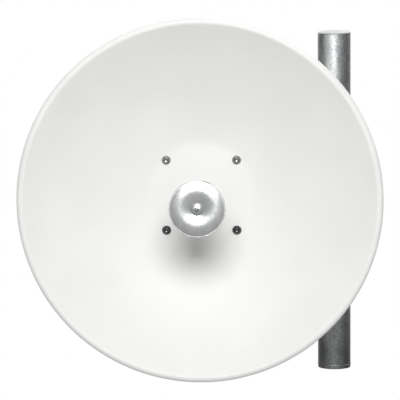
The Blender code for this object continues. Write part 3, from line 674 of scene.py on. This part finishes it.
def addFeedCone():
    wide, long, tube = feed["coneRadius"], feed["coneLength"], feed["tubeRadius"]
    bore, foot = tube - feed["wall"] - gap, -long - feed["spigot"]
    outline = [(0, -0.0007), (wide - 0.0004, -0.0007), (wide, -0.0012), (wide, -0.0040)]
    outline += [(wide - (wide - tube) * share ** 0.7, -0.004 - (long - 0.004) * share)
                for share in evenly(0, 1, 32)[1:]]
    outline += [(tube - 0.0006, -long - 0.0002), (bore, -long - 0.0003), (bore, foot), (0, foot)]
    shape = bmesh.new()
    addTurned(shape, outline, 128, fromAxis(lipY), toFront)
    # two small steps moulded round the cone under the disc, and a collar where it meets the tube
    for low, radius in ((-0.0042, wide + 0.0006), (-0.0075, wide - 0.0026)):
        step = bandOutline(radius - 0.004, radius, low, low - 0.0016, 0.0004)
        addTurned(shape, step, 128, fromAxis(lipY), toFront)
    collar = bandOutline(tube - 0.0010, tube + 0.0011, -long + 0.0035, -long + 0.0002, 0.0005)
    addTurned(shape, collar, 96, fromAxis(lipY), toFront)
    makePiece(shape, "mouldedCone", "cone", "feed_cone")


def addFeedTube():
    low, high = levels("feed_tube")
    tube, long = feed["tubeRadius"], high - low
    inner = tube - feed["wall"]
    outline = [(inner, 0), (tube - 0.0003, 0), (tube, 0.0003)]
    groove = tube - 0.0005
    for at in (0.0060, 0.0085):   # rolled grooves that grip the cone's spigot
        outline += [(tube, at), (groove, at + 0.0005), (groove, at + 0.0009), (tube, at + 0.0014)]
    outline += [(tube, long - 0.0003), (tube - 0.0003, long), (inner, long)]
    shape = bmesh.new()
    addTurned(shape, outline, 96, fromAxis(low), toRear)
    # collar that centres the tube in the dish's hole
    collar = bandOutline(tube - 0.0002, tube + 0.0020, 0, 0.006, 0.0006)
    addTurned(shape, collar, 96, fromAxis(plateFront - 0.0095), toRear)
    makePiece(shape, "waveguideTube", "cast", "feed_tube")


def addFeedHousing():
    inner, wide, body = feed["tubeRadius"] - feed["wall"], feed["flangeRadius"], feed["bodyRadius"]
    flangeFront, flangeRear = levels("feed_flange")
    thick = flangeRear - flangeFront
    ring = softened([(inner, 0), (wide, 0), (wide, thick), (body + 0.0012, thick), (inner, thick)],
                    0.0008, closed=True)
    turnedPiece("castFlange", "cast", "feed_flange", ring, 128, fromAxis(flangeFront), toRear)

    low, high = levels("feed_body")
    long, middleY = high - low, (low + high) / 2
    outline = [(0, 0), (body - 0.0006, 0), (body, 0.0006)]
    outline += [(body, 0.0085), (body - 0.0007, 0.0092), (body - 0.0007, 0.0104), (body, 0.0111)]   # groove
    outline += [(body, long - 0.0006), (body - 0.0006, long), (0, long)]
    shape = bmesh.new()
    addTurned(shape, outline, 128, fromAxis(low), toRear)
    # flat pads for the two sockets, and low ribs down the housing's free sides
    pad, depth = 2 * feed["pad"], feed["padDepth"]
    padMiddle = depth / 2 - feed["padReach"]
    addBlock(shape, (pad, pad, depth), 0.0022, fromAxis(middleY, z=padMiddle))
    addBlock(shape, (depth, pad, pad), 0.0022, fromAxis(middleY, x=padMiddle))
    rib = (0.0036, long - 0.016, 0.0030)
    for i, (x, z) in enumerate(arcPoints(0, 0, body - 0.0005, 20, 90, 2)):
        turn = (0, -radians(20 + 35 * i), 0)
        addBlock(shape, rib, 0.0009, fromAxis(middleY + 0.0035, x, z), turn)
    makePiece(shape, "castHousing", "cast", "feed_body")

    capFront, capRear = levels("feed_end_cap")
    rim = feed["capRadius"]
    cap = softened([(0, 0), (rim, 0), (rim, 0.004), (0.0345, 0.004), (0.0335, 0.0034), (0, 0.0034)], 0.0009)
    turnedPiece("housingCap", "cast", "feed_end_cap", cap, 128, fromAxis(capFront), toRear)

    shape = bmesh.new()
    for x, z in arcPoints(0, 0, feed["flangeScrews"], 30, 330, 5):
        addSocketScrew(shape, 0.0035, 0.0036, 0.0030, fromAxis(flangeRear, x, z))
    for x, z in arcPoints(0, 0, feed["capScrews"], 45, 315, 3):
        addSocketScrew(shape, 0.0028, 0.0014, 0.0020, fromAxis(capRear - 0.0006, x, z), domed=True)
    makePiece(shape, "housingScrews", "bolt")


# Coaxial sockets: hexagon base, screwed barrel, white insulator and a gold centre contact
socket = {"flats": 0.020, "base": 0.003, "barrel": 0.0079, "bore": 0.0064, "length": 0.016, "pitch": 0.00106}


def addSocket(name, node, place, turn):
    flats, base, barrel = socket["flats"], socket["base"], socket["barrel"]
    bore, length = socket["bore"], socket["length"]
    shape = bmesh.new()
    loops = [(barrel - 0.001, 0.0), (flats * 0.49, 0.0), hexAt(flats, 0.0005),
             hexAt(flats, base, chamfer), (flats * 0.475, base), (barrel - 0.001, base)]
    addLoops(shape, loops, 48, place, turn, closed=True)
    outer = [(barrel - 0.0009, 0.0004), (barrel - 0.0009, 0.0046)]
    outer += threadOutline(barrel, socket["pitch"], 0.0050, length - 0.0006)
    outer += [(barrel - 0.0005, length), (bore + 0.0002, length), (bore, length - 0.0003), (bore, 0.0040)]
    addTurned(shape, outer, 72, place, turn)
    makePiece(shape, name, "nickel", node)
    core = [(0.0021, 0.0030), (bore - 0.0001, 0.0030), (bore - 0.0001, 0.0085), (0.0040, 0.0085),
            (0.0040, 0.0105), (0.0021, 0.0105)]
    turnedPiece(name + "Insulator", "liner", None, softened(core, 0.0002, closed=True), 48, place, turn)
    pin = [(0, 0.0035), (0.0016, 0.0035), (0.0016, 0.0128), (0.0013, 0.0131), (0.0009, 0.0131),
           (0.0009, 0.0095), (0, 0.0095)]
    turnedPiece(name + "Contact", "gold", None, pin, 32, place, turn)


addFeedCone()
addFeedTube()
addFeedHousing()
portY = sum(levels("port_vertical")) / 2
addSocket("socketDown", "port_vertical", (axisX, portY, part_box("port_vertical")[1].z), toFloor)
addSocket("socketSide", "port_horizontal", (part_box("port_horizontal")[1].x, portY, axisZ), toLeft)
print("feed and sockets built")


# Bracket: square plate, tilt ear with its curved slot and marks, two gussets, weld beads
plate = {"size": 0.186, "corner": 0.018, "hole": 0.030, "thickness": 0.005, "boltHole": 0.0034}
ear = {"thickness": 0.005, "halfHeight": 0.078, "corner": 0.020, "slotRadius": 0.106, "slotHalfWidth": 0.0045,
       "slotHalfAngle": 12, "pivotHole": 0.0053, "pivotZ": 0.286, "marks": 9}
gusset = {"level": 0.030, "thickness": 0.004, "reach": 0.026, "tip": 0.006}
pivotY = sum(levels("pivot_bolt")) / 2
pivotZ = ear["pivotZ"]
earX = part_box("tilt_ear")[0].x
earFront, earRear = levels("tilt_ear")


def addBracketPlate():
    half, corner = plate["size"] / 2 - plate["corner"], plate["corner"]
    square = []
    for i, (x, y) in enumerate(((1, 1), (-1, 1), (-1, -1), (1, -1))):
        square += arcPoints(x * half, y * half, corner, 90 * i, 90 * i + 90, 8)
    holes = [circle(0, 0, plate["hole"], 48)] + [circle(x, z, plate["boltHole"], 20) for x, z in boltPlaces]
    shape = bmesh.new()
    addPlate(shape, square, holes, plate["thickness"], 0.0006, fromAxis(plateRear), toFront)
    makePiece(shape, "bracketPlate", "steel", "hub_plate")


def addTiltEar():
    low, high, corner = axisZ - ear["halfHeight"], axisZ + ear["halfHeight"], ear["corner"]
    outline = [(earFront, high), (earFront, low)]
    outline += arcPoints(earRear - corner, low + corner, corner, -90, 0, 8)
    outline += arcPoints(earRear - corner, high - corner, corner, 0, 90, 8)
    radius, width, half = ear["slotRadius"], ear["slotHalfWidth"], ear["slotHalfAngle"]
    aside, endZ = radius * sin(radians(half)), pivotZ + radius * cos(radians(half))
    slot = arcPoints(pivotY, pivotZ, radius + width, 90 - half, 90 + half, 12)
    slot += arcPoints(pivotY - aside, endZ, width, 90 + half, 270 + half, 8)[1:-1]
    slot += arcPoints(pivotY, pivotZ, radius - width, 90 + half, 90 - half, 12)
    slot += arcPoints(pivotY + aside, endZ, width, -90 - half, 90 - half, 8)[1:-1]
    holes = [slot, circle(pivotY, pivotZ, ear["pivotHole"])]
    shape = bmesh.new()
    addPlate(shape, outline, holes, ear["thickness"], 0.0005, (earX, 0, 0), alongX)
    makePiece(shape, "tiltEar", "steel", "tilt_ear")

    # tilt scale: plain stamped strokes beside the slot, the middle one longest
    shape = bmesh.new()
    last = ear["marks"] - 1
    for i, angle in enumerate(evenly(radians(90 + half), radians(90 - half), last)):
        long = 0.0070 if i == last // 2 else (0.0050 if i % 2 == 0 else 0.0035)
        reach = radius - width - 0.0022 - long / 2
        addBlock(shape, (0.0002, 0.0006, long), 0.00005,
                 (earX - 0.00002, pivotY + reach * cos(angle), pivotZ + reach * sin(angle)),
                 (angle - pi / 2, 0, 0))
    makePiece(shape, "tiltMarks", "mark")


def addGussets():
    right, reach, tip, thick = earX - gap, gusset["reach"], gusset["tip"], gusset["thickness"]
    corners = [(right - reach, earFront), (right - reach, earFront + tip), (right - tip, earFront + reach),
               (right, earFront + reach), (right, earFront)]
    for level, z in (("Upper", gusset["level"]), ("Lower", -gusset["level"])):
        shape = bmesh.new()
        addPlate(shape, corners, [], thick, 0.0005, (0, 0, axisZ + z - thick / 2))
        makePiece(shape, "gusset" + level, "steel", "ear_gusset_" + level.lower())


def addBracketWelds():
    weldY = plateRear + 0.0004
    near, far, end = gusset["level"] - 0.004, gusset["level"] + 0.004, ear["halfHeight"] - 0.004
    shape = bmesh.new()
    for x, spans in ((earX - 0.0004, ((-end, -far), (-near, near), (far, end))),
                     (earX + ear["thickness"] + 0.0002, ((-end, end),))):
        for low, high in spans:
            addBead(shape, (x, weldY, axisZ + low), (x, weldY, axisZ + high), 0.0024)
    for z in (-gusset["level"], gusset["level"]):
        for side in (-0.0022, 0.0022):
            level = axisZ + z + side
            for start, end in (((-0.0240, 0.0), (-0.0030, 0.0)), ((-0.0008, 0.004), (-0.0008, 0.024))):
                addBead(shape, (earX + start[0], weldY + start[1], level),
                        (earX + end[0], weldY + end[1], level), 0.0016)
    makePiece(shape, "bracketWelds", "weld")


addBracketPlate()
addTiltEar()
addGussets()
addBracketWelds()
print("bracket built")


# Offset arm: one sheet folded to a web, two tapered flanges and a wing, corners welded
arm = {"sheet": 0.004, "radius": 0.006, "left": -0.1532, "farEnd": 0.060, "halfHeight": 0.086,
       "flange": 0.024, "holeRadius": 0.016, "holesX": -0.098, "holeSpacing": 0.045,
       "boltHole": 0.0045, "tiltHole": 0.0043, "weld": 0.0050}
clamp = {"spacing": 0.120, "halfWidth": 0.056, "halfHeight": 0.015, "sheet": 0.003, "radius": 0.0035,
         "webY": 0.0457, "tip": 0.012, "boltSpacing": 0.092, "boltHole": 0.0045, "corner": 0.004,
         "notch": radians(60), "tooth": 0.0036, "toothDepth": 0.0018, "thread": 0.034, "boltTip": 0.014}
pole = {"radius": 0.03015, "wall": 0.0032, "length": 0.625, "disc": 0.006, "cap": 0.004, "plug": 0.020,
        "edge": 0.0008}
clampBoltPlaces = [(x * clamp["boltSpacing"] / 2, axisZ + z * clamp["spacing"] / 2)
                   for z in (1, -1) for x in (-1, 1)]
armFront, armRear = levels("offset_arm")


def addOffsetArm():
    sheet, radius, right, edge = arm["sheet"], arm["radius"], arm["farEnd"], arm["left"]
    webY = armRear - sheet / 2
    straight = webY - radius            # where the folded parts' straight stretch starts
    left = edge + sheet / 2 + radius    # where the wing's bend starts
    top = arm["halfHeight"] - sheet / 2 - radius
    bend = radius * pi / 2
    wing = left - bend - (straight - armFront)

    def flangeAt(y):
        return top + bend + straight - y
    near = flangeAt(webY + sheet / 2 - arm["flange"])
    far = flangeAt(armFront + 0.002)
    upper = [(right, top), (right, near - 0.006), (right - 0.006, near), (edge + 0.060, near),
             (edge + 0.014, far), (left + 0.0005, far), (left + 0.0005, top + 0.0010), (left - 0.0010, top),
             (wing, top)]
    lower = [(x, -z) for x, z in reversed(upper)]
    flat = softened(upper + lower, 0.003, closed=True)
    pivotX, pivotUp = left - bend - (straight - pivotY), pivotZ - axisZ
    holes = [circle(x, z - axisZ, arm["boltHole"], 20) for x, z in clampBoltPlaces]
    holes += [circle(arm["holesX"], up, arm["holeRadius"], 40)
              for up in (-arm["holeSpacing"], 0, arm["holeSpacing"])]
    holes += [circle(pivotX, pivotUp, ear["pivotHole"], 24),
              circle(pivotX, pivotUp + ear["slotRadius"], arm["tiltHole"], 24)]
    shape = bmesh.new()
    addPlate(shape, flat, holes, sheet, 0.0006, bottom=-sheet / 2)
    folds = (((left, 0, 0), (-1, 0, 0)), ((0, top, 0), (0, 1, 0)), ((0, -top, 0), (0, -1, 0)))
    for start, along in folds:
        cutAcross(shape, start, along, bend, 8)
    bmesh.ops.remove_doubles(shape, verts=shape.verts, dist=1e-5)
    above = [v for v in shape.verts if v.co.y > top and v.co.x > left - 0.0009]
    below = [v for v in shape.verts if v.co.y < -top and v.co.x > left - 0.0009]
    wings = [v for v in shape.verts if v.co.x < left and abs(v.co.y) <= top + 1e-6]
    for verts, (start, along) in zip((wings, above, below), folds):
        fold(verts, start, along, radius)
    placed(shape, set(), (0, webY, axisZ), toFront)
    makePiece(shape, "foldedArm", "steel", "offset_arm")
    shape = bmesh.new()
    x, start, end = edge + 0.0046, straight + 0.0045, armFront + 0.003
    for side in (-1, 1):
        z = axisZ + side * (arm["halfHeight"] - 0.0046)
        addBead(shape, (x, start, z), (x, end, z), arm["weld"], pitch=0.0034, sides=16)
    makePiece(shape, "armWelds", "weld")


def addClamp(name, node, side, z):
    # Channel folded from a flat blank, with a toothed V in each lip that bites on the pipe
    sheet, radius, half, corner = clamp["sheet"], clamp["radius"], clamp["halfWidth"], clamp["corner"]
    webY = clamp["webY"] - sheet / 2
    start = clamp["halfHeight"] - sheet / 2 - radius
    bend = radius * pi / 2
    reach = start + bend + webY - radius   # length of the flat blank out to the pole's axis
    apexY = (pole["radius"] + gap) / sin(clamp["notch"])
    apex = Vector((0, reach - apexY))
    mouth = Vector(((apexY - clamp["tip"]) * tan(clamp["notch"]), reach - clamp["tip"]))
    count = int((mouth - apex).length / clamp["tooth"])
    step = (mouth - apex) / count
    gash = Vector((step.y, -step.x)).normalized() * clamp["toothDepth"]
    teeth = []
    for i in range(count):
        teeth += [apex + step * i, apex + step * (i + 0.8) + gash]
    teeth = [(p.x, p.y) for p in teeth if 0.001 < p.x < mouth.x - 0.001]
    edge = mouth.y
    right = [(half, edge - corner), (half - corner, edge), (mouth.x, edge)] + teeth[::-1]
    upper = right + [(0, apex.y)] + [(-x, y) for x, y in reversed(right)]
    lower = [(x, -y) for x, y in reversed(upper)]
    holes = [circle(x * clamp["boltSpacing"] / 2, 0, clamp["boltHole"], 20) for x in (-1, 1)]
    shape = bmesh.new()
    addPlate(shape, upper + lower, holes, sheet, 0.0003, bottom=-sheet / 2)
    for up in (1, -1):
        cutAcross(shape, (0, up * start, 0), (0, up, 0), bend, 6)
    bmesh.ops.remove_doubles(shape, verts=shape.verts, dist=1e-5)
    for up in (1, -1):
        fold([v for v in shape.verts if v.co.y * up > start], (0, up * start, 0), (0, up, 0), radius)
    placed(shape, set(), (0, side * webY, z), toFront if side > 0 else toRear)
    makePiece(shape, name, "steel", node)


def addClampsAndBolts():
    for level, up in (("upper", 1), ("lower", -1)):
        for place, side in (("front", -1), ("rear", 1)):
            addClamp(f"clamp{place.title()}{level.title()}", f"clamp_{place}_{level}", side,
                     axisZ + up * clamp["spacing"] / 2)
    headY, nutY = armRear - arm["sheet"], clamp["webY"]
    length = nutY - headY + clamp["boltTip"]
    for i, (x, z) in enumerate(clampBoltPlaces):
        shape = bmesh.new()
        addHexBolt(shape, "m8", length, clamp["thread"], (x, headY - gap, z), toFront)
        makePiece(shape, f"clampBolt{i + 1}", "bolt", f"clamp_bolt_{i + 1}")
        addNut(f"clampNut{i + 1}", f"clamp_nut_{i + 1}", "m8", (x, nutY + 0.0001, z), toRear)


# Pivot and tilt bolts, each with a washer under its head
tiltBolts = {"washer": 0.0012, "tip": 0.0042, "thread": 0.016}


def addTiltBolts():
    nutX, washer = arm["left"] + arm["sheet"], tiltBolts["washer"]
    for name, size, z in (("pivot", "m10", pivotZ), ("tilt", "m8", pivotZ + ear["slotRadius"])):
        shank, head = bolts[size]["shank"], (earX - washer, pivotY, z)
        length = nutX - earX + bolts[size]["nut"] + tiltBolts["tip"] + washer
        shape = bmesh.new()
        addTurned(shape, bandOutline(shank + 0.0002, shank * 2.1, 0, washer, 0.0003), 40, head, toRight)
        addHexBolt(shape, size, length, tiltBolts["thread"], head, toLeft)
        makePiece(shape, name + "Bolt", "bolt", name + "_bolt")
        addNut(name + "Nut", name + "_nut", size, (nutX + 0.0001, pivotY, z), toRight)


addOffsetArm()
addClampsAndBolts()
addTiltBolts()
print("arm, clamps and bolts built")


# Pole: galvanised pipe with a plastic cap above and a welded disc below

def addPole():
    radius, inner, edge, disc = pole["radius"], pole["radius"] - pole["wall"], pole["edge"], pole["disc"]
    low, high = disc + gap, pole["length"] - pole["cap"] - gap
    outline = [(inner, low), (radius - edge, low)]
    outline += [(radius, z) for z in evenly(low + edge, high - edge, 40)]
    outline += [(radius - edge, high), (inner, high)]
    turnedPiece("polePipe", "pipe", "pole", outline, 96)
    foot = [(0, 0), (radius - 0.0002, 0), (radius - 0.0002, disc - 0.0002), (0, disc - 0.0002)]
    turnedPiece("poleDisc", "pipe", "pole_foot", softened(foot, 0.0010), 96)
    shape = bmesh.new()   # rippled weld ring where the disc meets the pipe
    addTurned(shape, circle(radius - 0.0010, disc + 0.0002, 0.0017, 10), 96)
    for vert in shape.verts:
        angle = atan2(vert.co.y, vert.co.x)
        swell = 1 + 0.006 * sin(angle * 60) + 0.003 * sin(angle * 23)
        vert.co.x *= swell
        vert.co.y *= swell
    makePiece(shape, "poleWeld", "weld")
    top, rim, bore = pole["length"], pole["length"] - pole["cap"], inner - gap
    cap = [(0, top), (radius - 0.006, top), (radius - 0.0020, top - 0.0005),
           (radius + 0.0005, top - 0.0022), (radius + 0.0005, rim), (bore, rim),
           (bore, top - pole["plug"]), (0, top - pole["plug"])]
    turnedPiece("poleCap", "cap", "pole_cap", softened(cap, 0.0012), 96)


addPole()
print("pole built")


# Studio: a white floor that shows from above only, a white backdrop for the camera, and a dim sky that
# is darkest at the sides. rimFill lights what faces just behind the dish's plane, such as its rolled rim
studio = {"floorZ": -0.55, "floorSize": 40.0, "front": 0.38, "side": 0.15, "rear": 0.52, "rimFill": 0.85}
white = hexColour("#FFFFFF")


def addFloor():
    shape = bmesh.new()
    bmesh.ops.create_grid(shape, x_segments=1, y_segments=1, size=studio["floorSize"] / 2)
    bmesh.ops.translate(shape, verts=shape.verts, vec=(0, 0, studio["floorZ"]))
    mesh = bpy.data.meshes.new("studioFloor")
    shape.to_mesh(mesh)
    shape.free()
    paper = bpy.data.materials.new("white paper floor")
    paper.use_nodes = True
    tree = paper.node_tree
    tree.nodes.remove(tree.nodes["Principled BSDF"])
    glow = addNode(tree, "Emission", {"Color": white, "Strength": 1.0})
    clear = addNode(tree, "BsdfTransparent")
    facing = addNode(tree, "NewGeometry")
    sheet = addNode(tree, "MixShader", {}, {0: facing.outputs["Backfacing"], 1: glow, 2: clear})
    join(tree, tree.nodes["Material Output"], {"Surface": sheet})
    mesh.materials.append(paper)
    floor = bpy.data.objects.new("studioFloor", mesh)
    bpy.context.scene.collection.objects.link(floor)
    for ray in ("visible_diffuse", "visible_glossy", "visible_transmission", "visible_shadow"):
        setattr(floor, ray, False)


def addSky():
    world = bpy.data.worlds.new("studio")
    bpy.context.scene.world = world
    world.use_nodes = True
    tree = world.node_tree
    front, side, rear = studio["front"], studio["side"], studio["rear"]
    split = addNode(tree, "SeparateXYZ", {}, {"Vector": addNode(tree, "TexCoord").outputs["Generated"]})
    depth = addNode(tree, "MapRange", {"span": (-1.0, 1.0, 0.0, 1.0)}, {"Value": split.outputs["Y"]})
    dimness = [(0.12, front), (0.97, rear), (0.40, side), (0.68, side)]
    dim = addNode(tree, "ValToRGB", {"stops": dimness}, {"Fac": depth})
    path = addNode(tree, "LightPath").outputs
    band = addNode(tree, "ValToRGB", {"stops": [(0.45, 0.0), (0.90, 0.0), (0.52, 1.0), (0.70, 1.0)]},
                   {"Fac": depth})
    fill = addNode(tree, "Math", {"operation": "MULTIPLY"}, {0: path["Is Diffuse Ray"], 1: band})
    lit = addNode(tree, "Mix", {"data_type": "RGBA", 7: grey(studio["rimFill"])}, {0: fill, 6: dim})
    sky = tree.nodes["Background"]
    join(tree, sky, {"Color": lit.outputs[2]})
    backdrop = addNode(tree, "Background", {"Color": white, "Strength": 1.0})
    seen = addNode(tree, "MixShader", {}, {0: path["Is Camera Ray"], 1: sky, 2: backdrop})
    join(tree, tree.nodes["World Output"], {"Surface": seen})


bpy.context.scene.view_settings.view_transform = "Standard"
addFloor()
addSky()
addCamera()
addLights()
print("studio ready")
